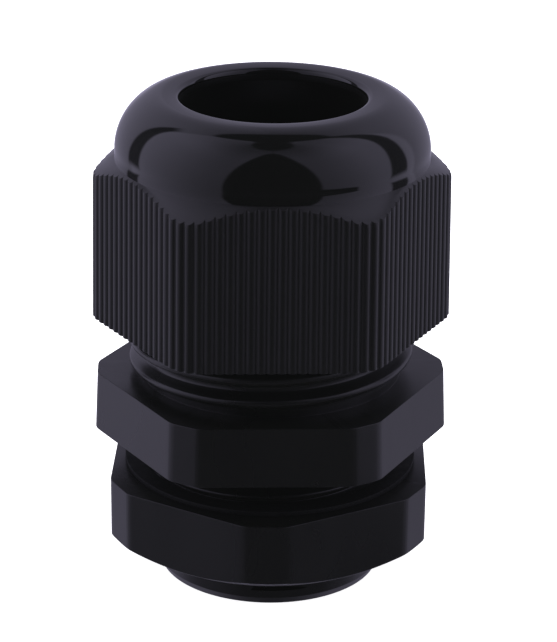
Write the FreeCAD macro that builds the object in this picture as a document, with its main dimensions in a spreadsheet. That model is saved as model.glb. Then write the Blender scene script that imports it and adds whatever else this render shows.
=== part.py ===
"""Nylon cable gland with a 3/4 inch pipe thread, in millimetres.

The origin lies on the gland's axis in the plane of the flange's underside, where the gland seats on a panel.
Z runs along the axis towards the cable entry, and the flange has a flat side facing -Y.

The gland is a stack of moulded pieces: the threaded body, a claw of fingers that stands in its collar, a rubber
seal inside the claw, a ribbed dome nut that presses the fingers in, and a gasket and a locknut on the panel thread.
"""

import FreeCAD, Part
import math
import os

import Sketcher
from FreeCAD import Placement, Rotation, Vector

FINGER_COUNT = 14
HEX_SIDES = 6

# Every driving size, in millimetres or degrees: alias, value, what it is.
SIZES = [
    ("bore_radius", 9.5, "cable passage through the body"),
    ("flange_apothem", 16.5, "half of the 33 mm spanner size, at the flange's upper face"),
    ("flange_corner", 18.14, "from the axis to the flange's cut corners, at its upper face"),
    ("flange_draft", 2.5, "slope of the flange's flats, which widen downwards"),
    ("flange_height", 6.24, "thickness of the hexagonal flange"),
    ("collar_top", 21.0, "top rim of the upper collar"),
    ("socket_radius", 12.4, "recess in the collar that holds the claw"),
    ("socket_floor", 15.0, "floor of that recess"),
    ("rim_chamfer", 0.4, "chamfer at the mouth of the recess"),
    ("nut_pitch", 2.4, "pitch of the dome nut's thread"),
    ("nut_crest", 14.8, "outer radius of the collar's thread"),
    ("nut_root", 13.6, "radius of the collar under its thread"),
    ("nut_land", 0.5, "width of the thread's flat crest"),
    ("nut_thread_base", 7.1, "height at which the collar's thread starts"),
    ("nut_thread_turns", 5.25, "turns of the collar's thread"),
    ("nut_thread_start", 120.0, "azimuth at which that thread starts"),
    ("pipe_pitch", 1.814, "14 threads to the inch"),
    ("pipe_crest", 13.2, "outer radius of the panel thread"),
    ("pipe_root", 12.1, "radius of the stub under the panel thread"),
    ("pipe_land", 0.35, "width of the panel thread's flat crest"),
    ("pipe_thread_base", -16.96, "start of the panel thread, below the stub's end, where it is trimmed off"),
    ("pipe_thread_turns", 9.0, "turns of the panel thread"),
    ("neck_radius", 13.25, "plain neck that centres the gland in its panel hole"),
    ("neck_length", 0.6, "length of that neck"),
    ("stub_length", 15.66, "from the flange to the end of the stub"),
    ("pilot_top", -13.3, "height at which the thread's last crests are cut off to the pilot"),
    ("pilot_radius", 12.0, "plain pilot that leads the locknut onto the thread"),
    ("stub_end_radius", 11.6, "outer radius left at the chamfered end"),
    ("stub_chamfer", 0.9, "height of the end chamfer"),
    ("relief_width", 6.6, "moulding relief across the last threads and the pilot"),
    ("relief_aside", 1.1, "from the front's middle to the relief's, and from the back's middle the other way"),
    ("relief_depth", 11.4, "from the axis to the relief's flat bottom"),
    ("relief_base", -14.0, "lower end of the relief"),
    ("relief_height", 2.3, "height of the relief"),
    ("flank", 30.0, "flank angle of both threads"),
    ("thread_gap", 0.25, "radial clearance over the collar's crests"),
    ("grip_base", 12.2, "lower end of the dome nut"),
    ("grip_apothem", 16.72, "from the axis to the rib crests on a flat"),
    ("rib_depth", 0.3, "height of a rib over its valleys"),
    ("rib_count", 18.0, "ribs on each of the six sides"),
    ("grip_round", 4.5, "rounding of the grip's corners over the rib crests"),
    ("grip_top", 29.45, "height at which the flats end under the dome"),
    ("shoulder_outer", 18.95, "radius at the lower end of the shoulder cone"),
    ("shoulder_drop", 2.4, "height of the shoulder cone"),
    ("dome_radius", 16.11, "radius at the foot of the dome"),
    ("dome_top", 36.0, "top of the dome"),
    ("dome_round", 4.9, "rounding of the dome's edge"),
    ("entry_radius", 9.5, "cable entry in the dome nut"),
    ("entry_base", 34.7, "height at which the inner cone meets the entry"),
    ("entry_round", 0.35, "rounding of the entry's edge"),
    ("cone_base", 25.9, "height at which the inner cone starts"),
    ("nut_bore", 13.9, "radius of the dome nut's bore between its threads"),
    ("nut_mouth", 15.2, "radius of the nut's open end"),
    ("nut_mouth_depth", 1.3, "height of the lead-in at the open end"),
    ("claw_inner", 11.0, "inner radius of the claw"),
    ("claw_outer", 12.3, "radius of the claw's ring in its recess"),
    ("claw_lip", 13.1, "lip that rests on the collar's rim"),
    ("claw_lip_base", 21.05, "underside of that lip"),
    ("claw_ring_top", 22.0, "top of the claw's ring"),
    ("seat_gap", 0.05, "gap under the claw and the seal"),
    ("finger_outer", 12.2, "outer radius of a finger"),
    ("finger_base", 22.15, "foot of a finger, at its hinge"),
    ("finger_bend", 26.6, "height at which a finger starts to thin"),
    ("finger_tip", 29.3, "tip of a finger"),
    ("finger_tip_outer", 11.8, "outer radius of a finger's tip"),
    ("finger_angle", 20.0, "angle that a finger spans about the axis"),
    ("seal_inner", 9.15, "bore of the rubber seal, for an 18 mm cable"),
    ("seal_outer", 10.9, "outer radius of the seal"),
    ("seal_top", 28.9, "top of the seal"),
    ("seal_lead", 0.6, "lead-in at the seal's upper mouth"),
    ("gasket_inner", 13.45, "inner radius of the flat gasket"),
    ("gasket_outer", 15.36, "outer radius of the flat gasket"),
    ("gasket_top", -3.38, "upper face of the gasket"),
    ("gasket_thickness", 0.54, "thickness of the gasket"),
    ("locknut_apothem", 16.45, "from the axis to the locknut's flats"),
    ("locknut_corner", 17.8, "from the axis to the locknut's cut corners"),
    ("locknut_top", -3.94, "upper face of the locknut"),
    ("locknut_height", 8.12, "thickness of the locknut"),
    ("locknut_base_radius", 14.8, "circle left by the chamfer underneath"),
    ("locknut_chamfer", 30.0, "slope of that chamfer"),
    ("locknut_bore", 12.35, "radius of the locknut's bore between its threads"),
    ("locknut_groove", 13.4, "radius at the bottom of the locknut's thread"),
    ("locknut_mouth", 1.0, "lead-in at both ends of the locknut's thread"),
    ("locknut_turn", 26.65, "angle of the locknut against the flange"),
    ("overlap", 0.3, "how deep a thread is rooted in its core"),
    ("past", 1.0, "how far a cut runs past the solid it opens"),
    ("run_out", 1.25, "turns by which the dome nut's groove outruns the collar's thread"),
    ("outside", 20.0, "a radius outside every piece"),
]
ALIASES = {alias for alias, number, meaning in SIZES}

doc = FreeCAD.newDocument("cable_gland")
sheet = doc.addObject("Spreadsheet::Sheet", "Sizes")


def fill_sheet():
    for row, (alias, number, meaning) in enumerate(SIZES, start=1):
        sheet.set(f"A{row}", meaning)
        sheet.set(f"B{row}", str(number))
        sheet.setAlias(f"B{row}", alias)
    doc.recompute()


def size(expression):
    """The value of an expression that names cells of the sheet by their aliases."""
    result = sheet.evalExpression(linked(expression))
    return float(getattr(result, "Value", result))


def linked(expression):
    """The same expression with the sheet's name before every alias, as other objects need it."""
    words = []
    word = ""
    for letter in expression + " ":
        if letter.isalpha() or letter == "_":
            word += letter
            continue
        words.append(f"Sizes.{word}" if word in ALIASES else word)
        words.append(letter)
        word = ""
    return "".join(words).strip()


def new_body(label):
    body = doc.addObject("PartDesign::Body", label)
    body.Label = label
    return body


def origin_plane(body, role):
    return next(item for item in body.Origin.OriginFeatures if item.Role == role)


def new_sketch(body, name, role, lift="0", turn="0"):
    """A sketch in one of the body's own planes, lifted along its normal and turned about its upright axis."""
    sketch = body.newObject("Sketcher::SketchObject", name)
    sketch.AttachmentSupport = [(origin_plane(body, role), "")]
    sketch.MapMode = "FlatFace"
    if lift != "0":
        sketch.setExpression("AttachmentOffset.Base.z", linked(lift))
    if turn != "0":
        sketch.AttachmentOffset = Placement(Vector(), Rotation(Vector(0, 1, 0), size(turn)))
    return sketch


def add_outline(sketch, corners):
    """A closed outline whose corners are pairs of sheet expressions, each bound to the sheet."""
    points = [Vector(size(across), size(up), 0) for across, up in corners]
    first = sketch.GeometryCount
    count = len(points)
    for i in range(count):
        sketch.addGeometry(Part.LineSegment(points[i], points[(i + 1) % count]), False)
    for i in range(count):
        following = first + (i + 1) % count
        sketch.addConstraint(Sketcher.Constraint("Coincident", first + i, 2, following, 1))
    for i, (across, up) in enumerate(corners):
        for kind, expression in (("DistanceX", across), ("DistanceY", up)):
            if expression == "0":
                axis = -2 if kind == "DistanceX" else -1
                sketch.addConstraint(Sketcher.Constraint("PointOnObject", first + i, 1, axis))
                continue
            rule = Sketcher.Constraint(kind, -1, 1, first + i, 1, size(expression))
            number = sketch.addConstraint(rule)
            sketch.setExpression(f"Constraints[{number}]", linked(expression))
    return sketch


def turned(body, name, kind, corners, angle="360"):
    """A Revolution or a Groove about Z of an outline given as radius and height."""
    sketch = add_outline(new_sketch(body, name + "_outline", "XZ_Plane"), corners)
    feature = body.newObject(f"PartDesign::{kind}", name)
    feature.Profile = sketch
    feature.ReferenceAxis = (sketch, ["V_Axis"])
    if angle == "360":
        feature.Angle = 360
    else:
        feature.Midplane = True
        feature.setExpression("Angle", linked(angle))
    return feature


def padded(body, name, sketch, length):
    pad = body.newObject("PartDesign::Pad", name)
    pad.Profile = sketch
    pad.setExpression("Length", linked(length))
    return pad


def helical(body, name, kind, section, turn, pitch, height):
    """A thread swept about Z: an AdditiveHelix for a ridge, a SubtractiveHelix for a groove."""
    sketch = add_outline(new_sketch(body, name + "_section", "XZ_Plane", turn=turn), section)
    feature = body.newObject(f"PartDesign::{kind}", name)
    feature.Profile = sketch
    feature.ReferenceAxis = (sketch, ["V_Axis"])
    feature.Mode = 0
    feature.setExpression("Pitch", linked(pitch))
    feature.setExpression("Height", linked(height))
    return feature


def thread_section(core, crest, land, middle):
    """A flat-crested section between a core and a crest radius, with a straight root below the core's surface."""
    narrow = f"({land}) / 2"
    wide = f"({land}) / 2 + (({crest}) - ({core})) * tan(flank * 1deg)"
    return [
        (f"({core}) - overlap", f"({middle}) - ({wide})"),
        (core, f"({middle}) - ({wide})"),
        (crest, f"({middle}) - ({narrow})"),
        (crest, f"({middle}) + ({narrow})"),
        (core, f"({middle}) + ({wide})"),
        (f"({core}) - overlap", f"({middle}) + ({wide})"),
    ]


def hexagon(apothem, corner):
    """Corners of a hexagon with cut corners: two on each flat, counted from the flat that faces -Y."""
    half_flat = f"(({corner}) - ({apothem}) * cos(30deg)) / sin(30deg)"
    corners = []
    for side in range(HEX_SIDES):
        facing = f"{60 * side - 90}deg"
        for end in ("-", "+"):
            across = f"({apothem}) * cos({facing}) - (0 {end} {half_flat}) * sin({facing})"
            along = f"({apothem}) * sin({facing}) + (0 {end} {half_flat}) * cos({facing})"
            corners.append((across, along))
    return corners


def volume_after(body):
    doc.recompute()
    return body.Shape.Volume


def must_shrink(body, before, feature):
    """A cut that points away from the solid removes nothing and raises no error."""
    if not volume_after(body) < before - 0.5:
        raise RuntimeError(f"{feature.Name} removed nothing")


def make_gland_body():
    body = new_body("gland_body")
    widening = "flange_height * tan(flange_draft * 1deg)"
    underside = hexagon(f"flange_apothem + {widening}", f"flange_corner + {widening}")
    flange = add_outline(new_sketch(body, "flange_outline", "XY_Plane"), underside)
    pad = padded(body, "flange", flange, "flange_height")
    pad.setExpression("TaperAngle", linked("0 - flange_draft"))
    turned(
        body,
        "barrel",
        "Revolution",
        [
            ("0", "0 - stub_length"),
            ("pipe_root", "0 - stub_length"),
            ("pipe_root", "0 - neck_length"),
            ("neck_radius", "0 - neck_length"),
            ("neck_radius", "flange_height / 2"),
            ("nut_root", "flange_height / 2"),
            ("nut_root", "collar_top"),
            ("0", "collar_top"),
        ],
    )
    helical(
        body,
        "collar_thread",
        "AdditiveHelix",
        thread_section("nut_root", "nut_crest", "nut_land", "nut_thread_base"),
        "nut_thread_start",
        "nut_pitch",
        "nut_pitch * nut_thread_turns",
    )
    helical(
        body,
        "panel_thread",
        "AdditiveHelix",
        thread_section("pipe_root", "pipe_crest", "pipe_land", "pipe_thread_base"),
        "0",
        "pipe_pitch",
        "pipe_pitch * pipe_thread_turns",
    )
    before = volume_after(body)
    end = turned(
        body,
        "stub_end",
        "Groove",
        [
            ("0", "0 - stub_length"),
            ("stub_end_radius", "0 - stub_length"),
            ("pilot_radius", "stub_chamfer - stub_length"),
            ("pilot_radius", "pilot_top"),
            ("pipe_crest + past", "pilot_top + pipe_crest + past - pilot_radius"),
            ("pipe_crest + past", "pipe_thread_base - pipe_pitch"),
            ("0", "pipe_thread_base - pipe_pitch"),
        ],
    )
    must_shrink(body, before, end)
    before = volume_after(body)
    bore = turned(
        body,
        "bore",
        "Groove",
        [
            ("0", "0 - stub_length - past"),
            ("bore_radius", "0 - stub_length - past"),
            ("bore_radius", "socket_floor"),
            ("socket_radius", "socket_floor"),
            ("socket_radius", "collar_top - rim_chamfer"),
            ("socket_radius + 2 * rim_chamfer", "collar_top + rim_chamfer"),
            ("0", "collar_top + rim_chamfer"),
        ],
    )
    must_shrink(body, before, bore)
    before = volume_after(body)
    reliefs = new_sketch(body, "relief_outline", "XY_Plane", lift="relief_base")
    front = ("relief_aside", "0 - relief_depth", "0 - pipe_crest - past")
    back = ("0 - relief_aside", "relief_depth", "pipe_crest + past")
    for middle, near, far in (front, back):
        left, right = f"{middle} - relief_width / 2", f"{middle} + relief_width / 2"
        add_outline(reliefs, [(left, near), (right, near), (right, far), (left, far)])
    relief = body.newObject("PartDesign::Pocket", "thread_relief")
    relief.Profile = reliefs
    relief.Reversed = True
    relief.setExpression("Length", linked("relief_height"))
    must_shrink(body, before, relief)
    return body


def grip_point(share, lift=0.0):
    """A point of the grip's outline, as distances out from the axis and along one side of the hexagon.

    share runs from 0 to 1 along the line of the rib valleys, from the middle of one rounded corner to the next,
    and lift moves the point out from that line.
    """
    valley = size("grip_apothem - rib_depth")
    rounding = size("grip_round - rib_depth")
    half_flat = (valley - rounding) * math.tan(math.pi / HEX_SIDES)
    half_side = half_flat + rounding * math.pi / HEX_SIDES
    distance = (2 * share - 1) * half_side
    turn = max(abs(distance) - half_flat, 0) / rounding
    out = valley - rounding + (rounding + lift) * math.cos(turn)
    along = min(abs(distance), half_flat) + (rounding + lift) * math.sin(turn)
    return out, math.copysign(along, distance)


def ribbed_outline():
    """Arcs of the dome nut's hexagonal grip: the same number of rounded ribs on each side."""
    ribs = int(size("rib_count"))
    arcs = []
    for side in range(HEX_SIDES):
        facing = Rotation(Vector(0, 0, 1), 60 * side - 90)
        for rib in range(ribs):
            start, crest, end = (
                facing.multVec(Vector(*grip_point((rib + step) / ribs, lift), 0))
                for step, lift in ((0, 0), (0.5, size("rib_depth")), (1, 0))
            )
            arcs.append(Part.Arc(start, crest, end))
    return arcs


def make_dome_nut():
    body = new_body("dome_nut")
    outline = new_sketch(body, "grip_outline", "XY_Plane", lift="grip_base")
    arcs = ribbed_outline()
    outline.addGeometry(arcs, False)
    for i in range(len(arcs)):
        outline.addConstraint(Sketcher.Constraint("Coincident", i, 2, (i + 1) % len(arcs), 1))
    padded(body, "grip", outline, "grip_top - grip_base")
    before = volume_after(body)
    shoulder = turned(
        body,
        "shoulder",
        "Groove",
        [
            ("dome_radius", "grip_top"),
            ("shoulder_outer", "grip_top - shoulder_drop"),
            ("shoulder_outer + past", "grip_top - shoulder_drop"),
            ("shoulder_outer + past", "grip_top + past"),
            ("dome_radius", "grip_top + past"),
        ],
    )
    must_shrink(body, before, shoulder)
    turned(
        body,
        "dome",
        "Revolution",
        [
            ("0", "grip_top - past"),
            ("dome_radius", "grip_top - past"),
            ("dome_radius", "dome_top"),
            ("0", "dome_top"),
        ],
    )
    round_edge(body, "dome_rounding", "dome_round", "dome_radius", "dome_top")
    before = volume_after(body)
    cavity = turned(
        body,
        "cavity",
        "Groove",
        [
            ("0", "grip_base - past"),
            ("nut_mouth + past", "grip_base - past"),
            ("nut_mouth", "grip_base"),
            ("nut_bore", "grip_base + nut_mouth_depth"),
            ("nut_bore", "cone_base"),
            ("entry_radius", "entry_base"),
            ("entry_radius", "dome_top + past"),
            ("0", "dome_top + past"),
        ],
    )
    must_shrink(body, before, cavity)
    round_edge(body, "entry_rounding", "entry_round", "entry_radius", "dome_top")
    before = volume_after(body)
    thread = helical(
        body,
        "nut_thread",
        "SubtractiveHelix",
        thread_section("nut_bore", "nut_crest + thread_gap", "nut_land", "nut_thread_base + nut_pitch"),
        "nut_thread_start",
        "nut_pitch",
        "nut_pitch * (nut_thread_turns + run_out)",
    )
    must_shrink(body, before, thread)
    return body


def round_edge(body, name, radius, edge_radius, height):
    """A fillet on the one circular edge with this radius at this height."""
    doc.recompute()
    base = body.Tip
    wanted = None
    for number, edge in enumerate(base.Shape.Edges, start=1):
        curve = edge.Curve
        if not isinstance(curve, Part.Circle):
            continue
        level = abs(curve.Center.z - size(height)) < 0.01
        if level and abs(curve.Radius - size(edge_radius)) < 0.01:
            wanted = f"Edge{number}"
    fillet = body.newObject("PartDesign::Fillet", name)
    fillet.Base = (base, [wanted])
    fillet.setExpression("Radius", linked(radius))
    return fillet


def make_claw_ring():
    body = new_body("claw_ring")
    turned(
        body,
        "ring",
        "Revolution",
        [
            ("claw_inner", "socket_floor + seat_gap"),
            ("claw_outer", "socket_floor + seat_gap"),
            ("claw_outer", "claw_lip_base"),
            ("claw_lip", "claw_lip_base"),
            ("claw_lip", "claw_ring_top"),
            ("claw_inner", "claw_ring_top"),
        ],
    )
    return body


def make_claw_finger(number):
    body = new_body(f"claw_finger_{number + 1:02d}")
    turned(
        body,
        f"finger_{number + 1:02d}",
        "Revolution",
        [
            ("claw_inner", "finger_base"),
            ("finger_outer", "finger_base"),
            ("finger_outer", "finger_bend"),
            ("finger_tip_outer", "finger_tip"),
            ("claw_inner", "finger_tip"),
        ],
        angle="finger_angle",
    )
    body.Placement = Placement(Vector(), Rotation(Vector(0, 0, 1), 360 * number / FINGER_COUNT))
    return body


def make_seal_insert():
    body = new_body("seal_insert")
    turned(
        body,
        "sleeve",
        "Revolution",
        [
            ("seal_inner", "socket_floor + seat_gap"),
            ("seal_outer", "socket_floor + seat_gap"),
            ("seal_outer", "seal_top"),
            ("seal_inner + seal_lead", "seal_top"),
            ("seal_inner", "seal_top - seal_lead"),
        ],
    )
    return body


def make_gasket():
    body = new_body("gasket")
    base = "gasket_top - gasket_thickness"
    turned(
        body,
        "washer",
        "Revolution",
        [
            ("gasket_inner", base),
            ("gasket_outer", base),
            ("gasket_outer", "gasket_top"),
            ("gasket_inner", "gasket_top"),
        ],
    )
    return body


def make_locknut():
    body = new_body("locknut")
    base = "locknut_top - locknut_height"
    outline = new_sketch(body, "locknut_outline", "XY_Plane", lift=base)
    add_outline(outline, hexagon("locknut_apothem", "locknut_corner"))
    padded(body, "prism", outline, "locknut_height")
    before = volume_after(body)
    slope = f"{base} + (outside - locknut_base_radius) * tan(locknut_chamfer * 1deg)"
    chamfer = turned(
        body,
        "underside",
        "Groove",
        [
            ("locknut_base_radius", base),
            ("outside", slope),
            ("outside", f"{base} - past"),
            ("locknut_base_radius", f"{base} - past"),
        ],
    )
    must_shrink(body, before, chamfer)
    before = volume_after(body)
    wide = "locknut_bore + locknut_mouth"
    bore = turned(
        body,
        "locknut_bore",
        "Groove",
        [
            ("0", f"{base} - past"),
            (f"{wide} + past", f"{base} - past"),
            (wide, base),
            ("locknut_bore", f"{base} + locknut_mouth"),
            ("locknut_bore", "locknut_top - locknut_mouth"),
            (wide, "locknut_top"),
            (f"{wide} + past", "locknut_top + past"),
            ("0", "locknut_top + past"),
        ],
    )
    must_shrink(body, before, bore)
    before = volume_after(body)
    # the groove keeps to the panel thread's helix wherever the nut's own flats stand
    thread = helical(
        body,
        "locknut_thread",
        "SubtractiveHelix",
        thread_section("locknut_bore", "locknut_groove", "pipe_land", "pipe_thread_base + pipe_pitch"),
        "0 - locknut_turn",
        "pipe_pitch",
        "pipe_pitch * (pipe_thread_turns - 1)",
    )
    must_shrink(body, before, thread)
    body.Placement = Placement(Vector(), Rotation(Vector(0, 0, 1), size("locknut_turn")))
    return body


def check(bodies):
    doc.recompute()
    for item in doc.Objects:
        if "Invalid" in item.State or "Error" in item.State:
            raise RuntimeError(f"{item.Name} failed: {item.State}")
    for body in bodies:
        if body.Shape.isNull() or not body.Shape.isValid() or len(body.Shape.Solids) != 1:
            raise RuntimeError(f"{body.Label} is not one valid solid")


def main():
    fill_sheet()
    bodies = [
        make_gland_body(),
        make_claw_ring(),
        *(make_claw_finger(number) for number in range(FINGER_COUNT)),
        make_seal_insert(),
        make_dome_nut(),
        make_gasket(),
        make_locknut(),
    ]
    check(bodies)
    os.makedirs("parts", exist_ok=True)
    for body in bodies:
        body.Shape.exportStep(f"parts/{body.Label}.step")
        box = body.Shape.BoundBox
        print(f"{body.Label}: {body.Shape.Volume:.1f} mm3, z {box.ZMin:.2f} to {box.ZMax:.2f}")


main()
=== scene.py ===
"""Looks of a nylon cable gland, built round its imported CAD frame.

Every piece is a skin of rings about the gland's axis. A ring gives a radius and a height for each azimuth, in
millimetres, and the last step turns them into metres. Sizes that the frame holds come from its boxes.
"""

import math

import bmesh
import bpy
import numpy as np
from mathutils import Matrix, Quaternion, Vector


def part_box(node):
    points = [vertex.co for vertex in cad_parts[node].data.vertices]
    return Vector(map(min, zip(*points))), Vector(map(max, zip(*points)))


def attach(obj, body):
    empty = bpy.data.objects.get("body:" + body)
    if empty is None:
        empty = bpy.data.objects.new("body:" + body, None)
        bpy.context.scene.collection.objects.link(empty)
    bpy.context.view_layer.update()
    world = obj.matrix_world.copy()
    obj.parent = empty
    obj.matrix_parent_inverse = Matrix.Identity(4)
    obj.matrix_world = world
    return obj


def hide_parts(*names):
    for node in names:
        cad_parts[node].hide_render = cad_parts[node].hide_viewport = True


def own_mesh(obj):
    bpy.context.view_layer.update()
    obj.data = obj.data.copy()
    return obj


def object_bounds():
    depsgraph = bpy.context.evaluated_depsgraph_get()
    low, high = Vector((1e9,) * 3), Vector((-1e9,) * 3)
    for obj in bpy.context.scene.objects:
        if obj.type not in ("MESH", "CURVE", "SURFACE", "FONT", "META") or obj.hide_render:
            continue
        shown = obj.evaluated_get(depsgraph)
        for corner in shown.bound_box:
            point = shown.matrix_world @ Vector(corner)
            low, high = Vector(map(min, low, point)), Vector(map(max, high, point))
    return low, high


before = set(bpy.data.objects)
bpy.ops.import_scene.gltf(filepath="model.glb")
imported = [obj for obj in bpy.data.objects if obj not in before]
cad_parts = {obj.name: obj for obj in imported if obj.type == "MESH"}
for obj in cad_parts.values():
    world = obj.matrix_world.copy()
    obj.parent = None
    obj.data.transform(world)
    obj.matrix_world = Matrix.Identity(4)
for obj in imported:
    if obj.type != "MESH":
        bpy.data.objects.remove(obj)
CAD_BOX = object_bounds()

MM = 0.001
TURN = 2 * math.pi
HEX_SIDES = 6
HEX_EDGE = 0.35
MERGE_DISTANCE = 1e-7
ROUNDING_STEPS = 4
FLANK = math.radians(30)
BREAK = 0.06
FINGERS = sorted(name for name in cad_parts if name.startswith("claw_finger_"))


def low(node):
    """The lowest z of a CAD node, in millimetres."""
    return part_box(node)[0].z / MM


def high(node):
    """The highest z of a CAD node, in millimetres."""
    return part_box(node)[1].z / MM


def reach(node):
    """How far a CAD node reaches from the gland's axis along x, in millimetres."""
    return max(abs(corner.x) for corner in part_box(node)) / MM


# --------------------------------------------------------------------------------------------------
# Rings: an array of shape (ring, azimuth, 2) holds radius and height
# --------------------------------------------------------------------------------------------------


def even_azimuths(count):
    """Evenly spaced azimuths, in radians."""
    return np.arange(count) * TURN / count


def azimuths_with_corners(count, corners, spread=math.radians(1.2), cluster=5):
    """Even azimuths with a small cluster of extra ones round each corner of an outline."""
    extra = [corner + spread * t for corner in corners for t in np.linspace(-1, 1, cluster)]
    merged = np.concatenate([even_azimuths(count), np.mod(extra, TURN)])
    return np.unique(np.round(merged, 6))


def spread_out(value, azimuths):
    """A number or an array over the azimuths, as an array over the azimuths."""
    return np.broadcast_to(np.asarray(value, float), azimuths.shape)


def smooth(t):
    """A smooth step from 0 to 1 as t goes from 0 to 1."""
    t = np.clip(t, 0, 1)
    return t * t * (3 - 2 * t)


def ring(azimuths, radius, height):
    """One ring. The radius and the height may each be a number or vary with azimuth."""
    return np.stack([spread_out(radius, azimuths), spread_out(height, azimuths)], axis=-1)


def section(azimuths, corners):
    """Rings through the corners of a section, each of them a radius, a height and a rounding."""
    points = [ring(azimuths, radius, height) for radius, height, _ in corners]
    rings = [points[0]]
    for before, point, after, (_, _, rounding) in zip(points, points[1:], points[2:], corners[1:]):
        if not rounding:
            rings.append(point)
            continue
        back, ahead = before - point, after - point
        long_back = np.linalg.norm(back, axis=-1, keepdims=True)
        long_ahead = np.linalg.norm(ahead, axis=-1, keepdims=True)
        start = point + back / long_back * np.minimum(rounding, 0.45 * long_back)
        end = point + ahead / long_ahead * np.minimum(rounding, 0.45 * long_ahead)
        for t in np.linspace(0, 1, ROUNDING_STEPS + 1):
            rings.append((1 - t) ** 2 * start + 2 * t * (1 - t) * point + t**2 * end)
    rings.append(points[-1])
    return np.array(rings)


class Thread:
    """A right-hand thread: a profile along one pitch, and a function that turns it into radii.

    The profile's places are shares of the pitch from a crest. Its heights run from 0 at the root to 1
    at the crest. radius_at takes azimuths, heights above the flange's underside and profile heights.
    """

    def __init__(self, pitch, land, depth, rounding, crest_front, radius_at):
        self.pitch = pitch
        self.radius_at = radius_at
        self.crest_at_zero = crest_front + pitch / 4
        half_land = land / 2
        half_base = half_land + depth * math.tan(FLANK)
        soft = rounding / depth
        places = [
            (0, 1),
            (half_land * 0.6, 1),
            (half_land + rounding * 0.2, 1 - soft * 0.35),
            (half_land + rounding, 1 - soft * 1.35),
            ((half_land + half_base) / 2, 0.5),
            (half_base - rounding * 0.5, soft * 0.9),
            (half_base + rounding * 0.2, soft * 0.2),
            (min(half_base + rounding, pitch / 2 * 0.96), 0),
        ]
        falling = [(place / pitch, height) for place, height in places]
        rising = [(1 - place, height) for place, height in reversed(falling[1:])]
        self.places, self.heights = zip(*(falling + rising))
        self.count = len(self.places)

    def radius(self, azimuths, height):
        turns = (height - self.crest_at_zero) / self.pitch - azimuths / TURN
        profile = np.interp(np.mod(turns, 1.0), (*self.places, 1.0), (*self.heights, self.heights[0]))
        return self.radius_at(azimuths, height, profile)

    def end(self, azimuths, height):
        """The radii at which the thread is cut off level."""
        return self.radius(azimuths, np.full_like(azimuths, height))

    def rings(self, azimuths, base, top):
        """Rings that follow the helix, held back at the thread's two ends."""
        first = math.floor((base - self.crest_at_zero) / self.pitch) - 1
        last = math.ceil((top - self.crest_at_zero) / self.pitch) + 1
        starts = [turn + place for turn in range(first, last + 1) for place in self.places]
        climb = azimuths / TURN * self.pitch
        rings = []
        for start in starts:
            height = np.clip(self.crest_at_zero + start * self.pitch + climb, base, top)
            rings.append(ring(azimuths, self.radius(azimuths, height), height))
        return np.array(rings)


def hexagon(azimuths, apothem, corner, facing):
    """Radius of a hexagon with cut corners and softened edges, with a flat that faces one azimuth."""
    flats = [(apothem, side) for side in range(HEX_SIDES)]
    cuts = [(corner, side + 0.5) for side in range(HEX_SIDES)]
    faces = []
    for distance, turn in flats + cuts:
        across = np.cos(azimuths - facing - turn * TURN / HEX_SIDES)
        faces.append(distance / np.maximum(across, 1e-3))
    near = np.sort(np.array(faces), axis=0)[:2]
    # a smooth least of the two nearest faces rounds the edge between them
    gap = np.clip((near[1] - near[0]) / HEX_EDGE, 0, 1)
    return near[0] - HEX_EDGE * 0.25 * (1 - gap) ** 2


def hexagon_corners(apothem, corner, facing):
    """Azimuths of the twelve edges of a hexagon with cut corners."""
    half_side = TURN / HEX_SIDES / 2
    half = math.atan2((corner - apothem * math.cos(half_side)) / math.sin(half_side), apothem)
    middles = [facing + side * TURN / HEX_SIDES for side in range(HEX_SIDES)]
    return [middle + sign * half for middle in middles for sign in (-1, 1)]


# --------------------------------------------------------------------------------------------------
# Meshes
# --------------------------------------------------------------------------------------------------


class Skin:
    """The closed surface of one piece, put together from bands of rings."""

    def __init__(self, azimuths):
        self.azimuths = azimuths
        self.points = []
        self.faces = []
        self.count = 0

    def add(self, rings, shift=0):
        """Adds a band as quads. With a shift, each ring ends where a later one starts, as on a thread."""
        count, across = rings.shape[:2]
        radius, height = rings[..., 0], rings[..., 1]
        spots = [radius * np.cos(self.azimuths), radius * np.sin(self.azimuths), height]
        self.points.append(np.stack(spots, axis=-1).reshape(-1, 3) * MM)
        row, step = np.meshgrid(np.arange(count - 1), np.arange(across), indexing="ij")
        seam = step == across - 1
        after = np.where(seam, 0, step + 1)
        beside = np.where(seam, np.minimum(row + shift, count - 1), row)
        over = np.where(seam, np.minimum(row + 1 + shift, count - 1), row + 1)
        near_pair = [row * across + step, beside * across + after]
        far_pair = [over * across + after, (row + 1) * across + step]
        self.faces.append(np.stack(near_pair + far_pair, axis=-1).reshape(-1, 4) + self.count)
        self.count += count * across

    def add_thread(self, base, top, thread):
        """Adds a thread between two heights."""
        self.add(thread.rings(self.azimuths, base, top), thread.count)

    def finish(self, name, material, body, nodes):
        """Makes the bands into one piece."""
        points = np.concatenate(self.points).tolist()
        faces = np.concatenate(self.faces).tolist()
        return finish_mesh(name, points, faces, material, body, nodes)


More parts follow.
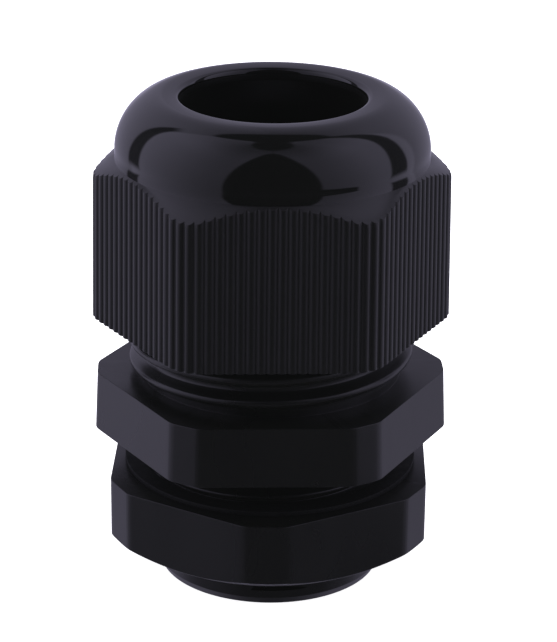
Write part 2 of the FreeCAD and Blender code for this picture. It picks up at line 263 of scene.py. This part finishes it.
def finish_mesh(name, points, faces, material, body, nodes):
    """One closed surface as a piece that rides on a body and stands for CAD nodes."""
    mesh = bpy.data.meshes.new(name)
    mesh.from_pydata(points, [], faces)
    work = bmesh.new()
    work.from_mesh(mesh)
    bmesh.ops.remove_doubles(work, verts=work.verts, dist=MERGE_DISTANCE)
    bmesh.ops.dissolve_degenerate(work, edges=work.edges, dist=MERGE_DISTANCE)
    loose = [v for v in work.verts if not v.link_faces]
    bmesh.ops.delete(work, geom=loose, context="VERTS")
    bmesh.ops.recalc_face_normals(work, faces=work.faces)
    open_edges = sum(1 for edge in work.edges if len(edge.link_faces) != 2)
    print(f"{name}: {len(work.faces)} faces, {open_edges} open edges")
    work.to_mesh(mesh)
    work.free()
    mesh.shade_smooth()
    mesh.materials.append(material)
    piece = bpy.data.objects.new(name, mesh)
    bpy.context.scene.collection.objects.link(piece)
    normals = piece.modifiers.new("level_faces", "WEIGHTED_NORMAL")
    normals.weight = 50
    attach(piece, body)
    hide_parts(*nodes)
    return piece


# --------------------------------------------------------------------------------------------------
# Materials
# --------------------------------------------------------------------------------------------------


class Nodes:
    """A short way to write a material's node tree."""

    def __init__(self, name):
        self.material = bpy.data.materials.new(name)
        self.material.use_nodes = True
        self.tree = self.material.node_tree
        self.shader = self.tree.nodes["Principled BSDF"]
        self.coordinates = self.tree.nodes.new("ShaderNodeTexCoord").outputs["Object"]

    def add(self, kind):
        return self.tree.nodes.new(kind)

    def link(self, output, target):
        self.tree.links.new(output, target)

    def noise(self, scale, detail=2.0, roughness=0.5, stretch=(1, 1, 1)):
        """Noise through the object's own space, with its scale per metre."""
        mapping = self.add("ShaderNodeMapping")
        mapping.inputs["Scale"].default_value = stretch
        self.link(self.coordinates, mapping.inputs["Vector"])
        node = self.add("ShaderNodeTexNoise")
        node.inputs["Scale"].default_value = scale
        node.inputs["Detail"].default_value = detail
        node.inputs["Roughness"].default_value = roughness
        self.link(mapping.outputs["Vector"], node.inputs["Vector"])
        return node.outputs["Fac"]

    def ramp(self, value, low_out, high_out):
        """Spreads the middle of a noise between two values."""
        node = self.add("ShaderNodeMapRange")
        node.inputs["From Min"].default_value = 0.3
        node.inputs["From Max"].default_value = 0.7
        node.inputs["To Min"].default_value = low_out
        node.inputs["To Max"].default_value = high_out
        self.link(value, node.inputs["Value"])
        return node.outputs["Result"]

    def tint(self, value, dark, light):
        """Blends two colours by a value."""
        node = self.add("ShaderNodeMix")
        node.data_type = "RGBA"
        node.inputs["A"].default_value = (*dark, 1)
        node.inputs["B"].default_value = (*light, 1)
        self.link(value, node.inputs["Factor"])
        return node.outputs["Result"]

    def add_painted_glow(self):
        """A faint painted glow that lifts the deepest shadows off black; the plastic itself gives no such
        light.
        """
        self.shader.inputs["Emission Color"].default_value = (0.93, 0.98, 1.0, 1)
        self.shader.inputs["Emission Strength"].default_value = 0.003

    def bumps(self, *layers):
        """Bump layers, each (height, distance in metres, strength), one on top of the other."""
        normal = None
        for height, distance, strength in layers:
            node = self.add("ShaderNodeBump")
            node.inputs["Distance"].default_value = distance
            node.inputs["Strength"].default_value = strength
            self.link(height, node.inputs["Height"])
            if normal is not None:
                self.link(normal, node.inputs["Normal"])
            normal = node.outputs["Normal"]
        self.link(normal, self.shader.inputs["Normal"])


NYLON_DARK = (0.0012, 0.0013, 0.0011)
NYLON_LIGHT = (0.0026, 0.0027, 0.0024)
RUBBER_DARK = (0.001, 0.001, 0.001)
RUBBER_DUST = (0.004, 0.004, 0.0045)


def nylon(name, roughness, spread, grain):
    """Black moulded nylon: faint flow marks in its colour and gloss, and a fine grain."""
    made = Nodes(name)
    flow = made.noise(90, detail=3, stretch=(1, 1, 0.4))
    fine = made.noise(2600, detail=2)
    waves = made.noise(260, detail=1.5)
    made.link(made.tint(flow, NYLON_DARK, NYLON_LIGHT), made.shader.inputs["Base Color"])
    made.link(made.ramp(flow, roughness - spread, roughness + spread), made.shader.inputs["Roughness"])
    made.bumps((waves, 0.00006, grain), (fine, 0.000012, grain))
    made.shader.inputs["IOR"].default_value = 1.5
    # a faint painted glow lifts the nylon's deepest shadows off black
    made.add_painted_glow()
    return made.material


def rubber(name, sheen):
    """Matt black rubber with a mealy surface."""
    made = Nodes(name)
    dust = made.noise(700, detail=4, roughness=0.7)
    made.link(made.tint(dust, RUBBER_DARK, RUBBER_DUST), made.shader.inputs["Base Color"])
    made.link(made.ramp(dust, 0.5, 0.7), made.shader.inputs["Roughness"])
    made.bumps((made.noise(1800, detail=3), 0.00002, 0.5))
    made.shader.inputs["Specular IOR Level"].default_value = sheen
    # a faint painted glow lifts the rubber's deepest shadows off black
    made.add_painted_glow()
    return made.material


SATIN = nylon("satin_nylon", 0.3, 0.05, 0.25)
RIBBED = nylon("ribbed_nylon", 0.36, 0.04, 0.15)
POLISHED = nylon("polished_nylon", 0.07, 0.015, 0.03)
SEAL_RUBBER = rubber("seal_rubber", 0.4)
GASKET_RUBBER = rubber("gasket_rubber", 0.2)


# --------------------------------------------------------------------------------------------------
# Gland body
# --------------------------------------------------------------------------------------------------

FRONT = -math.pi / 2
NUT_PITCH = 2.4
NUT_LAND = 0.5
NUT_CREST_FRONT = 8.15
COLLAR_CREST = 14.8
COLLAR_ROOT = 13.6
COLLAR_DEPTH = COLLAR_CREST - COLLAR_ROOT
PIPE_PITCH = 1.814
PIPE_LAND = 0.35
PIPE_CREST_FRONT = -2.9
PIPE_CREST = 13.2
PIPE_ROOT = 12.1
PIPE_DEPTH = PIPE_CREST - PIPE_ROOT
NECK = 13.25
NECK_BASE = -0.6
BORE = 9.5
SOCKET = 12.4
SOCKET_FLOOR = 15.0
FLANGE_HEIGHT = 6.24
FLANGE_APOTHEM = 16.5
FLANGE_CORNER = 18.14
FLANGE_DRAFT = math.radians(2.5)
STUB_END_RADIUS = 11.6
STUB_END_SLOPE = 0.5
THREAD_FADE_FOOT = 0.6
THREAD_FADE_UP = 0.7
THREAD_FADE_RIM = 0.6
PILOT_RADIUS = 12.0
PILOT_TOP = -13.3
RELIEF_HALF_WIDTH = 3.3
RELIEF_ASIDE = 1.1
RELIEF_DEPTH = 11.4
RELIEF_BASE = -14.0
RELIEF_TOP = -11.7
RELIEF_EDGE = 0.12


def collar_radius(azimuths, height, profile):
    """The collar's thread, which fades in above its foot and out below the rim."""
    start = smooth((height - FLANGE_HEIGHT - THREAD_FADE_FOOT) / THREAD_FADE_UP)
    end = smooth((high("gland_body") - THREAD_FADE_RIM - height) / THREAD_FADE_RIM)
    return COLLAR_ROOT + COLLAR_DEPTH * profile * start * end


def stub_radius(azimuths, height, profile):
    """The panel thread over its plain pilot, with a relief moulded into the front and the back."""
    start = smooth((NECK_BASE - 0.05 - height) / 0.35)
    radius = PIPE_ROOT + PIPE_DEPTH * profile * start
    radius = np.minimum(radius, PILOT_RADIUS + np.maximum(height - PILOT_TOP, 0))
    radius = np.minimum(radius, STUB_END_RADIUS + (height - low("gland_body")) * STUB_END_SLOPE)
    flat = RELIEF_DEPTH / np.maximum(np.abs(np.sin(azimuths)), 0.5)
    aside = np.abs(radius * np.cos(azimuths) + RELIEF_ASIDE * np.sign(np.sin(azimuths)))
    inside = smooth((RELIEF_HALF_WIDTH - aside) / RELIEF_EDGE + 0.5)
    inside = inside * smooth((height - RELIEF_BASE) / RELIEF_EDGE + 0.5)
    inside = inside * smooth((RELIEF_TOP - height) / RELIEF_EDGE + 0.5)
    return radius + (np.minimum(radius, flat) - radius) * inside


def body_azimuths():
    """Azimuths for the body, closer together at the flange's corners and at the sides of the reliefs."""
    corners = hexagon_corners(FLANGE_APOTHEM, FLANGE_CORNER, FRONT)
    sides = [RELIEF_ASIDE + side * RELIEF_HALF_WIDTH for side in (-1, 1)]
    turns = [math.asin(side / PILOT_RADIUS) for side in sides]
    corners += [facing + turn for facing in (FRONT, -FRONT) for turn in turns]
    return azimuths_with_corners(360, corners)


def make_gland_body():
    """The body: a bored stub with the panel thread, the flange, and the collar with the nut's thread."""
    base, top = low("gland_body"), high("gland_body")
    azimuths = body_azimuths()
    widening = FLANGE_HEIGHT * math.tan(FLANGE_DRAFT)
    upper = hexagon(azimuths, FLANGE_APOTHEM, FLANGE_CORNER, FRONT)
    lower = hexagon(azimuths, FLANGE_APOTHEM + widening, FLANGE_CORNER + widening, FRONT)
    panel = Thread(PIPE_PITCH, PIPE_LAND, PIPE_DEPTH, 0.1, PIPE_CREST_FRONT, stub_radius)
    collar = Thread(NUT_PITCH, NUT_LAND, COLLAR_DEPTH, 0.12, NUT_CREST_FRONT, collar_radius)
    thread_foot = FLANGE_HEIGHT + 0.3
    thread_head = top - 0.5
    stub_end = [
        (BORE, 0, 0),
        (BORE, base, 0.25),
        (panel.end(azimuths, base), base, 0),
    ]
    flange = [
        (panel.end(azimuths, NECK_BASE), NECK_BASE, 0),
        (NECK, NECK_BASE, 0.08),
        (NECK, 0, 0.1),
        (lower, 0, BREAK),
        (upper, FLANGE_HEIGHT, BREAK),
        (COLLAR_ROOT, FLANGE_HEIGHT, BREAK / 2),
        (COLLAR_ROOT, thread_foot, 0),
    ]
    inside = [
        (COLLAR_ROOT, thread_head, 0),
        (COLLAR_ROOT, top, 0.2),
        (SOCKET + 0.4, top, 0.1),
        (SOCKET, top - 0.5, 0.1),
        (SOCKET, SOCKET_FLOOR, 0.2),
        (BORE, SOCKET_FLOOR, 0.2),
        (BORE, 0, 0),
    ]
    skin = Skin(azimuths)
    skin.add(section(azimuths, stub_end))
    skin.add(stub_rings(azimuths, base, panel))
    skin.add_thread(PILOT_TOP, NECK_BASE, panel)
    skin.add(section(azimuths, flange))
    skin.add_thread(thread_foot, thread_head, collar)
    skin.add(section(azimuths, inside))
    skin.finish("gland_body_skin", SATIN, "root", ["gland_body"])


def stub_rings(azimuths, base, thread):
    """Level rings from the stub's end up to the foot of the panel thread."""
    heights = [base, base + 0.08, *np.linspace(base + 0.2, PILOT_TOP, 40)]
    heights += [RELIEF_BASE + RELIEF_EDGE * t for t in (-0.5, -0.25, 0, 0.25, 0.5)]
    return np.array([ring(azimuths, thread.end(azimuths, height), height) for height in sorted(heights)])


# --------------------------------------------------------------------------------------------------
# Dome nut
# --------------------------------------------------------------------------------------------------

RIBS_PER_SIDE = 18
RIB_DEPTH = 0.3
RIB_STEPS = 8
RIB_END = 0.35
GRIP_APOTHEM = 16.7
GRIP_ROUND = 4.5
GRIP_TAPER = 0.0145
SHOULDER_FOOT = 18.95
GRIP_TOP = 29.45
SHOULDER_DROP = 2.4
DOME_FOOT = 16.11
DOME_RIM = 11.35
DOME_BASE = 30.5
DOME_POWER = 1.87
ENTRY = 9.5
ENTRY_BASE = 34.7
CONE_BASE = 25.9
NUT_BORE = 13.9
NUT_MOUTH = 15.2
NUT_THREAD_GAP = 0.25
NUT_THREAD_DEPTH = COLLAR_CREST + NUT_THREAD_GAP - NUT_BORE
GRIP_FOOT = 1.0
EDGE_STEP = 0.03


def grip_outlines():
    """The grip's azimuths, and its radii there along the ribs and along the line of their crests."""
    valley = GRIP_APOTHEM - RIB_DEPTH
    rounding = GRIP_ROUND - RIB_DEPTH
    half_flat = (valley - rounding) * math.tan(math.pi / HEX_SIDES)
    half_side = half_flat + rounding * math.pi / HEX_SIDES
    share = np.arange(RIBS_PER_SIDE * RIB_STEPS) / (RIBS_PER_SIDE * RIB_STEPS)
    distance = (2 * share - 1) * half_side
    turn = np.maximum(np.abs(distance) - half_flat, 0) / rounding
    half_chord = half_side / RIBS_PER_SIDE
    bend = (half_chord**2 + RIB_DEPTH**2) / (2 * RIB_DEPTH)
    across = half_chord * (2 * np.mod(share * RIBS_PER_SIDE, 1) - 1)
    rib = np.sqrt(bend**2 - across**2) - (bend - RIB_DEPTH)

    def outline(lift):
        """Azimuths and radii of one side's outline, lifted off the line of the grooves."""
        out = valley - rounding + (rounding + lift) * np.cos(turn)
        along = np.minimum(np.abs(distance), half_flat) + (rounding + lift) * np.sin(turn)
        return np.arctan2(np.sign(distance) * along, out), np.hypot(out, along)

    facing = FRONT + np.arange(HEX_SIDES) * TURN / HEX_SIDES
    aside, ribbed = outline(rib)
    crest_aside, crest = outline(RIB_DEPTH)
    crest = np.interp(aside, crest_aside, crest)
    azimuths = np.mod(facing[:, None] + aside, TURN).ravel()
    order = np.argsort(azimuths)
    return azimuths[order], np.tile(ribbed, HEX_SIDES)[order], np.tile(crest, HEX_SIDES)[order]


def nut_thread_radius(azimuths, height, profile):
    """The nut's groove, open at its mouth, which fades out under the cone."""
    groove = NUT_BORE + NUT_THREAD_DEPTH * profile * smooth((CONE_BASE - height) / 0.8)
    return np.maximum(groove, NUT_MOUTH - (height - low("dome_nut")))


def make_dome_nut():
    """The nut: a ribbed grip, a conical shoulder, the dome, and inside it a cone and the thread."""
    base, top = low("dome_nut"), high("dome_nut")
    azimuths, ribbed, crest = grip_outlines()
    edge = np.maximum(ribbed * (1 - GRIP_TAPER), DOME_FOOT + EDGE_STEP)
    under_edge = edge - np.minimum(EDGE_STEP, (edge - DOME_FOOT) / 3)
    inside_ribs = np.maximum((crest - RIB_DEPTH) * (1 - GRIP_TAPER) - 0.05, DOME_FOOT + 0.005)
    side = grip_side(azimuths, base + GRIP_FOOT, ribbed, edge)
    foot = [
        (NUT_MOUTH, base, 0),
        (ribbed, base, 0.1),
        (side[0, :, 0], base + GRIP_FOOT, 0),
    ]
    shoulder = [
        (edge, shoulder_height(edge), 0),
        (under_edge, shoulder_height(under_edge), 0),
        (inside_ribs, shoulder_height(inside_ribs), 0),
        (DOME_FOOT + 0.001, GRIP_TOP, 0),
        (DOME_FOOT, DOME_BASE, 0),
    ]
    entry = [
        (DOME_RIM, top, 0),
        (ENTRY, top - 0.1, 0.55),
        (ENTRY, ENTRY_BASE, 0.15),
        (NUT_BORE, CONE_BASE, 0),
    ]
    thread = Thread(NUT_PITCH, NUT_LAND, NUT_THREAD_DEPTH, 0.1, NUT_CREST_FRONT, nut_thread_radius)
    skin = Skin(azimuths)
    skin.add(section(azimuths, foot))
    skin.add(side)
    skin.add(section(azimuths, shoulder))
    skin.add(dome_rings(azimuths, top))
    skin.add(section(azimuths, entry))
    skin.add_thread(base, CONE_BASE, thread)
    piece = skin.finish("dome_nut_skin", RIBBED, "dome_nut", ["dome_nut"])
    paint_dome(piece)


def dome_rings(azimuths, top):
    """The dome: a quarter of a superellipse, turned about the axis."""
    arc = np.linspace(0, math.pi / 2, 28)
    radii = DOME_RIM + (DOME_FOOT - DOME_RIM) * np.cos(arc) ** (2 / DOME_POWER)
    heights = DOME_BASE + (top - DOME_BASE) * np.sin(arc) ** (2 / DOME_POWER)
    return np.array([ring(azimuths, radius, height) for radius, height in zip(radii, heights)])


def shoulder_height(radius):
    """The height of the cone that cuts off the grip's corners."""
    return GRIP_TOP - (radius - DOME_FOOT) * SHOULDER_DROP / (SHOULDER_FOOT - DOME_FOOT)


def grip_side(azimuths, base, ribbed, edge):
    """The grip's side: the ribs taper upwards, and each groove closes just under the shoulder."""
    top = shoulder_height(edge)
    heights = [spread_out(base, azimuths), top - 1.2]
    heights += [top - below for below in np.linspace(RIB_END, 0, 7)]
    rings = []
    for height in heights:
        share = (height - low("dome_nut")) / (GRIP_TOP - low("dome_nut"))
        grooved = ribbed * (1 - GRIP_TAPER * share)
        closed = smooth(1 - (top - height) / RIB_END)
        rings.append(ring(azimuths, grooved + (edge - grooved) * closed, height))
    return np.array(rings)


def paint_dome(piece):
    """The dome is polished, the shoulder under it is satin, and the grip and the inside are duller."""
    piece.data.materials.append(POLISHED)
    piece.data.materials.append(SATIN)
    for face in piece.data.polygons:
        radius = math.hypot(face.center.x, face.center.y) / MM
        height = face.center.z / MM
        outward = face.normal.x * face.center.x + face.normal.y * face.center.y
        if (outward > 0 or face.normal.z > 0) and height > GRIP_TOP + 0.002:
            face.material_index = 1
        elif radius > DOME_FOOT and height > shoulder_height(radius) - 0.005:
            face.material_index = 2


# --------------------------------------------------------------------------------------------------
# Locknut and gasket
# --------------------------------------------------------------------------------------------------

LOCKNUT_APOTHEM = 16.45
LOCKNUT_CORNER = 17.8
LOCKNUT_FACING = math.radians(26.65) + FRONT
LOCKNUT_RING = 14.8
LOCKNUT_BORE = 12.35
LOCKNUT_GROOVE = 13.4
LOCKNUT_MOUTH = 1.0
LOCKNUT_CHAMFER = math.radians(30)
GASKET_INNER = 13.45


def locknut_thread_radius(azimuths, height, profile):
    """The locknut's groove, opened by a lead-in at both ends."""
    groove = LOCKNUT_BORE + (LOCKNUT_GROOVE - LOCKNUT_BORE) * profile
    from_end = np.minimum(height - low("locknut"), high("locknut") - height)
    return np.maximum(groove, LOCKNUT_BORE + LOCKNUT_MOUTH - from_end)


def make_locknut():
    """The locknut: a hexagon with cut corners, chamfered underneath, on the panel thread."""
    base, top = low("locknut"), high("locknut")
    corners = hexagon_corners(LOCKNUT_APOTHEM, LOCKNUT_CORNER, LOCKNUT_FACING)
    azimuths = azimuths_with_corners(360, corners)
    hexed = hexagon(azimuths, LOCKNUT_APOTHEM, LOCKNUT_CORNER, LOCKNUT_FACING)
    chamfer_top = base + (hexed - LOCKNUT_RING) * math.tan(LOCKNUT_CHAMFER)
    depth = LOCKNUT_GROOVE - LOCKNUT_BORE
    thread = Thread(PIPE_PITCH, PIPE_LAND, depth, 0.08, PIPE_CREST_FRONT, locknut_thread_radius)
    outside = [
        (thread.end(azimuths, base), base, 0),
        (LOCKNUT_RING, base, 0.08),
        (hexed, chamfer_top, 0.1),
        (hexed, top, BREAK),
        (thread.end(azimuths, top), top, 0),
    ]
    skin = Skin(azimuths)
    skin.add(section(azimuths, outside))
    skin.add_thread(base, top, thread)
    skin.finish("locknut_skin", SATIN, "locknut", ["locknut"])


def make_gasket():
    """The flat washer that lies on the locknut."""
    base, top = low("gasket"), high("gasket")
    outer = reach("gasket")
    middle = (GASKET_INNER + outer) / 2
    azimuths = even_azimuths(256)
    corners = [
        (middle, base, 0),
        (outer, base, BREAK),
        (outer, top, BREAK),
        (GASKET_INNER, top, BREAK),
        (GASKET_INNER, base, BREAK),
        (middle, base, 0),
    ]
    skin = Skin(azimuths)
    skin.add(section(azimuths, corners))
    skin.finish("gasket_skin", GASKET_RUBBER, "gasket", ["gasket"])


# --------------------------------------------------------------------------------------------------
# Seal and claw, inside the nut
# --------------------------------------------------------------------------------------------------

CLAW_INNER = 11.0
CLAW_OUTER = 12.3
LIP_BASE = 21.05
FINGER_OUTER = 12.2
FINGER_BEND = 26.6
FINGER_TIP = 11.8
FINGER_HALF_ANGLE = math.radians(10)
SEAL_INNER = 9.15
SEAL_BEADS = 5
BEAD_PITCH = 2.4
BEAD_HEIGHT = 0.35


def make_seal():
    """A rubber sleeve with a rounded mouth and gripping beads inside."""
    base, top = low("seal_insert"), high("seal_insert")
    outer = reach("seal_insert")
    foot = SEAL_INNER + 0.1
    azimuths = even_azimuths(192)
    corners = [
        (outer - 0.8, base, 0),
        (outer, base, 0.2),
        (outer, top, 0.5),
        (SEAL_INNER + 0.5, top, 0.35),
    ]
    for bead in range(SEAL_BEADS):
        crest = top - BEAD_PITCH * (bead + 0.5)
        corners.append((SEAL_INNER, crest, 0.4))
        corners.append((SEAL_INNER + BEAD_HEIGHT, crest - BEAD_PITCH / 2, 0.5))
    corners += [
        (foot, base + 0.6, 0.3),
        (foot, base, 0.2),
        (outer - 0.8, base, 0),
    ]
    skin = Skin(azimuths)
    skin.add(section(azimuths, corners))
    sleeve = skin.finish("seal_insert_skin", SEAL_RUBBER, "seal", ["seal_insert"])
    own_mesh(sleeve)


def make_claw_ring():
    """The claw's ring, whose lip rests on the rim of the collar."""
    base, top = low("claw_ring"), high("claw_ring")
    lip = reach("claw_ring")
    azimuths = even_azimuths(192)
    corners = [
        (CLAW_INNER + 0.6, base, 0),
        (CLAW_OUTER, base, 0.2),
        (CLAW_OUTER, LIP_BASE, 0.08),
        (lip, LIP_BASE, 0.15),
        (lip, top, 0.2),
        (CLAW_INNER, top, 0.15),
        (CLAW_INNER, base, 0.2),
        (CLAW_INNER + 0.6, base, 0),
    ]
    skin = Skin(azimuths)
    skin.add(section(azimuths, corners))
    skin.finish("claw_ring_skin", SATIN, "root", ["claw_ring"])


def make_finger(name, azimuth):
    """One finger of the claw: a curved bar with softened edges that thins towards its tip."""
    base, top = low(name), high(name)
    outline = np.array(
        [
            (CLAW_INNER, base),
            (FINGER_OUTER, base),
            (FINGER_OUTER, FINGER_BEND),
            (FINGER_TIP, top - 0.25),
            (FINGER_TIP - 0.2, top),
            (CLAW_INNER + 0.2, top),
            (CLAW_INNER, top - 0.25),
        ]
    )
    middle = outline.mean(axis=0)
    points, faces = [], []
    count = len(outline)
    # the outline shrinks a little at the finger's two sides, which softens their edges
    slices = [(-1, 0.97), (-0.9, 1), (-0.45, 1), (0, 1), (0.45, 1), (0.9, 1), (1, 0.97)]
    for share, width in slices:
        angle = azimuth + share * FINGER_HALF_ANGLE
        for radius, height in middle + (outline - middle) * width:
            points.append((radius * math.cos(angle) * MM, radius * math.sin(angle) * MM, height * MM))
    for k in range(len(slices) - 1):
        for i in range(count):
            j = (i + 1) % count
            faces.append((k * count + i, k * count + j, (k + 1) * count + j, (k + 1) * count + i))
    faces.append(tuple(range(count)))
    faces.append(tuple(range(len(points) - count, len(points))))
    finish_mesh(f"{name}_skin", points, faces, SATIN, name, [name])


def make_fingers():
    """The claw's fingers, evenly spaced round its ring."""
    for number, name in enumerate(FINGERS):
        make_finger(name, TURN * number / len(FINGERS))


# --------------------------------------------------------------------------------------------------
# Floor, light and camera
# --------------------------------------------------------------------------------------------------

FLOOR_REACH = 6.0
FLOOR_GLOW = 0.97
CAMERA_TURN = 2.1
CAMERA_SPOT = Vector((0, -249.56, 109.79)) * MM
CAMERA_AIM = Vector((0.776, 0, 11.31)) * MM
CAMERA_ROLL = math.radians(0.598)
CAMERA_LENS = 144.0
TENT_TINT = (1.01, 0.95, 1.31, 1)
TENT_SHADE = 0.02
FLOOR_SHADE = 0.055
OPENING_HALF_WIDTH = 35.0
OPENING_FOOT = -15.0
OPENING_HEIGHT = 79.5
SKIRT_WIDTH = 28.0
SEAM_LEFT = 117.0
SEAM_RIGHT = 102.0
SEAM_HALF_LEFT = 7.5
SEAM_HALF_RIGHT = 9.0
SEAM_SHADE = 0.08
ROOF_RISE = 68.0
ROOF_SHADE = 0.05


def make_floor():
    """A wide pale floor under the gland's end, bright enough to show no shadow."""
    mesh = bpy.data.meshes.new("floor")
    corners = [(-1, -1), (1, -1), (1, 1), (-1, 1)]
    points = [(x * FLOOR_REACH, y * FLOOR_REACH, CAD_BOX[0].z) for x, y in corners]
    mesh.from_pydata(points, [], [(0, 1, 2, 3)])
    floor = bpy.data.objects.new("floor", mesh)
    bpy.context.scene.collection.objects.link(floor)
    made = Nodes("pale_floor")
    tint = made.tint(made.noise(3), (0.8, 0.8, 0.8), (0.86, 0.86, 0.86))
    made.link(tint, made.shader.inputs["Base Color"])
    made.shader.inputs["Roughness"].default_value = 0.9
    made.shader.inputs["Emission Color"].default_value = (1, 1, 1, 1)
    made.shader.inputs["Emission Strength"].default_value = FLOOR_GLOW
    mesh.materials.append(made.material)
    floor.visible_glossy = False


class Sky:
    """A short way to write the light tent's brightness as a function of direction, in degrees."""

    def __init__(self, tree):
        self.tree = tree

    def math(self, operation, *values):
        node = self.tree.nodes.new("ShaderNodeMath")
        node.operation = operation
        for socket, value in zip(node.inputs, values):
            if isinstance(value, (int, float)):
                socket.default_value = value
            else:
                self.tree.links.new(value, socket)
        return node.outputs[0]

    def times(self, first, *others):
        for other in others:
            first = self.math("MULTIPLY", first, other)
        return first

    def plus(self, first, *others):
        for other in others:
            first = self.math("ADD", first, other)
        return first

    def minus(self, first, second):
        return self.math("SUBTRACT", first, second)

    def share(self, value, start, length):
        """How far a value has come from a start along a length, held between 0 and 1."""
        passed = self.minus(self.math("MAXIMUM", value, start), start)
        return self.math("MINIMUM", self.times(passed, 1 / length), 1.0)

    def mix(self, first, second, share):
        return self.plus(self.times(first, self.minus(1.0, share)), self.times(second, share))

    def step(self, value, start, end, before=0.0, after=1.0):
        """A smooth step from one value before the start to another after the end."""
        node = self.tree.nodes.new("ShaderNodeMapRange")
        node.interpolation_type = "SMOOTHSTEP"
        node.inputs["From Min"].default_value = start
        node.inputs["From Max"].default_value = end
        node.inputs["To Min"].default_value = before
        node.inputs["To Max"].default_value = after
        self.tree.links.new(value, node.inputs["Value"])
        return node.outputs["Result"]

    def directions(self):
        """Degrees round from the camera's side, with right positive, and degrees above the horizon."""
        split = self.tree.nodes.new("ShaderNodeSeparateXYZ")
        coordinates = self.tree.nodes.new("ShaderNodeTexCoord")
        self.tree.links.new(coordinates.outputs["Generated"], split.inputs[0])
        x, y, z = split.outputs
        degrees = 180 / math.pi
        around = self.times(self.math("ARCTAN2", x, self.times(y, -1.0)), degrees)
        return self.plus(around, CAMERA_TURN), self.times(self.math("ARCSINE", z), degrees)


def wall_light(sky, around, side, rise):
    """The walls' light: more towards the back corners and at half height, and less from the floor."""
    walls = sky.step(side, 30, 105, 0.33, 0.88)
    back = sky.step(side, 122, 178, 0.58, 0.34)
    light = sky.mix(walls, back, sky.step(side, 118, 124))
    light = sky.times(light, sky.step(around, 75, 100, 1.0, 0.86))
    light = sky.times(light, sky.step(rise, -20, 30, 0.82, 1.0), sky.step(rise, 45, 80, 1.0, 0.42))
    floor = sky.step(side, 80, 115, 0.13, 0.62)
    light = sky.times(light, sky.mix(floor, 1.0, sky.step(rise, -22, -15)))
    # the foot of the back wall catches the most light
    foot = sky.times(sky.step(side, 158, 176), sky.step(rise, -4, 8, 1.0, 0.0))
    return sky.times(light, sky.plus(foot, 1.0))


def outside_opening(sky, side, rise, on_right):
    """0 inside the round arch of the open front and the dark skirt to its right, and 1 outside."""
    arched = sky.share(rise, OPENING_FOOT, OPENING_HEIGHT)
    arch = sky.times(sky.math("SQRT", sky.minus(1.0, sky.times(arched, arched))), OPENING_HALF_WIDTH)
    skirt = sky.times(on_right, sky.step(rise, -13, -7, SKIRT_WIDTH, 0.0))
    return sky.step(sky.minus(side, sky.plus(arch, skirt)), -1.0, 2.0)


def outside_seams(sky, side, rise, on_right):
    """0 on the two leaning seams between the side walls and the back wall, and 1 beside them."""
    lifted = sky.share(rise, 0.0, ROOF_RISE)
    lean = sky.times(sky.math("POWER", sky.times(lifted, 1.5), 2.0), 10.5)
    seam = sky.plus(sky.mix(SEAM_LEFT, SEAM_RIGHT, on_right), lean)
    half_width = sky.minus(sky.mix(SEAM_HALF_LEFT, SEAM_HALF_RIGHT, on_right), sky.times(lifted, 3.5))
    beside = sky.step(sky.minus(sky.math("ABSOLUTE", sky.minus(side, seam)), half_width), -1.5, 1.5)
    above = sky.times(sky.step(rise, 44, 52), sky.minus(1.0, on_right))
    below = sky.step(rise, -8, -16)
    return sky.math("MAXIMUM", beside, sky.plus(above, below))


def under_roof(sky, side, rise):
    """1 under the dark roof's edge and nearly 0 above it. The edge is lower in front and behind."""
    edge = sky.plus(sky.step(side, 0, 90, 70.0, 82.0), sky.step(side, 105, 125, 0.0, -18.0))
    return sky.step(sky.minus(rise, edge), -1.0, 2.0, 1.0, ROOF_SHADE)


def make_world():
    """A light tent: soft side walls and back wall with dark seams, a dark roof and an open front."""
    world = bpy.data.worlds.new("light_tent")
    bpy.context.scene.world = world
    world.use_nodes = True
    tree = world.node_tree
    sky = Sky(tree)
    around, rise = sky.directions()
    side = sky.math("ABSOLUTE", around)
    on_right = sky.step(around, -20, 20)
    light = wall_light(sky, around, side, rise)
    light = sky.times(light, outside_opening(sky, side, rise, on_right))
    light = sky.times(light, sky.mix(SEAM_SHADE, 1.0, outside_seams(sky, side, rise, on_right)))
    light = sky.times(light, under_roof(sky, side, rise))
    light = sky.plus(light, sky.step(rise, -20, -12, FLOOR_SHADE, TENT_SHADE))
    seen = tree.nodes.new("ShaderNodeLightPath").outputs["Is Camera Ray"]
    background = tree.nodes["Background"]
    tree.links.new(sky.math("MAXIMUM", light, seen), background.inputs["Strength"])
    background.inputs["Color"].default_value = TENT_TINT


def make_overhead_light():
    """A soft round lamp above the gland, which mirrors don't show."""
    light = bpy.data.lights.new("overhead", "AREA")
    light.shape = "DISK"
    light.size = 1.2
    light.energy = 12
    lamp = bpy.data.objects.new("overhead", light)
    lamp.location = (0, 0.1, 1.0)
    lamp.visible_glossy = False
    bpy.context.scene.collection.objects.link(lamp)


def make_camera():
    """A long lens a little above the gland, in front and slightly to its left."""
    turn = Matrix.Rotation(math.radians(-CAMERA_TURN), 3, "Z")
    spot, aim = turn @ CAMERA_SPOT, turn @ CAMERA_AIM
    data = bpy.data.cameras.new("camera")
    data.lens = CAMERA_LENS
    data.clip_start = 0.01
    camera = bpy.data.objects.new("camera", data)
    bpy.context.scene.collection.objects.link(camera)
    camera.location = spot
    camera.rotation_mode = "QUATERNION"
    camera.rotation_quaternion = (aim - spot).to_track_quat("-Z", "Y") @ Quaternion((0, 0, 1), CAMERA_ROLL)
    bpy.context.scene.camera = camera


def main():
    make_gland_body()
    make_dome_nut()
    make_locknut()
    make_gasket()
    make_seal()
    make_claw_ring()
    make_fingers()
    make_floor()
    make_world()
    make_overhead_light()
    make_camera()
    bpy.context.scene.view_settings.view_transform = "Standard"


main()
